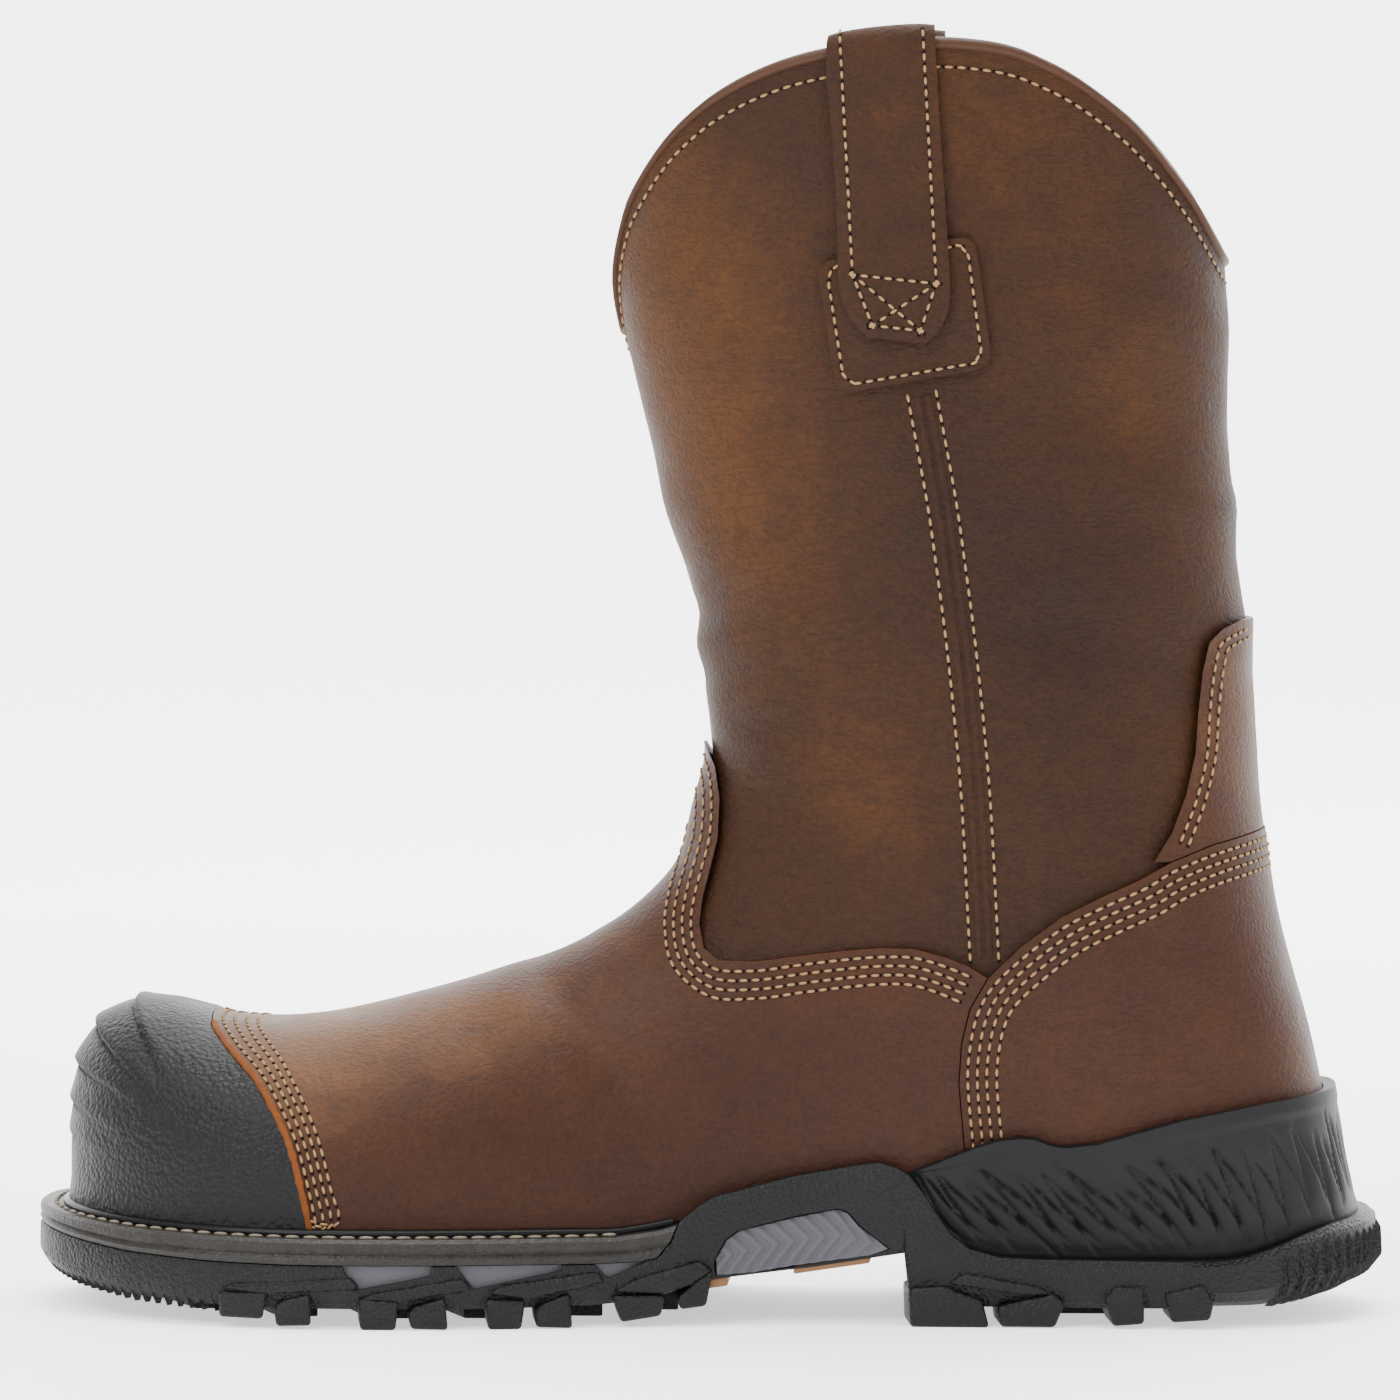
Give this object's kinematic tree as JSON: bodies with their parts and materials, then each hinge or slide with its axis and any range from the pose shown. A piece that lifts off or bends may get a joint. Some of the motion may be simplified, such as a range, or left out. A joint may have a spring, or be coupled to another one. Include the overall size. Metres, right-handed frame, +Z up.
{
  "type": "pull-on work boot",
  "caption": "Pull-on leather work boot with a scalloped collar, side pull straps, rubber toe cap, welted forefoot, heel stabiliser and a lugged rubber outsole; stands on heel and forefoot.",
  "frame": {"origin": "on the floor under the heel, at the centre of the flat pad under the heel, the mount heel_rest", "axes": "+X from toe to heel, +Y towards the inner side of the foot, +Z up"},
  "size_m": [0.318, 0.1173, 0.3003],
  "materials": {
    "shaft_leather": "oiled brown leather",
    "vamp_leather": "oiled brown leather",
    "binding_leather": "dark brown leather edge",
    "toe_rubber": "pebbled black rubber",
    "welt_rubber": "dark welt with cream stitches",
    "grey_foam": "grey foam",
    "sole_rubber": "black rubber, fine stipple",
    "cup_rubber": "matte black rubber",
    "insole_fabric": "fabric footbed"
  },
  "bodies": {
    "root": {"upper": "shaft_leather", "vamp": "vamp_leather", "toe_cap": "toe_rubber", "counter": "vamp_leather", "backstay": "vamp_leather", "collar_binding": "binding_leather", "pull_strap_outer": "shaft_leather", "pull_strap_inner": "shaft_leather", "strap_patch_outer": "shaft_leather", "strap_patch_inner": "shaft_leather", "welt": "welt_rubber", "midsole": "grey_foam", "arch_insert_outer": "grey_foam", "arch_insert_inner": "grey_foam", "outsole": "sole_rubber", "heel_cup": "cup_rubber", "insole": "insole_fabric"}
  },
  "joints": []
}
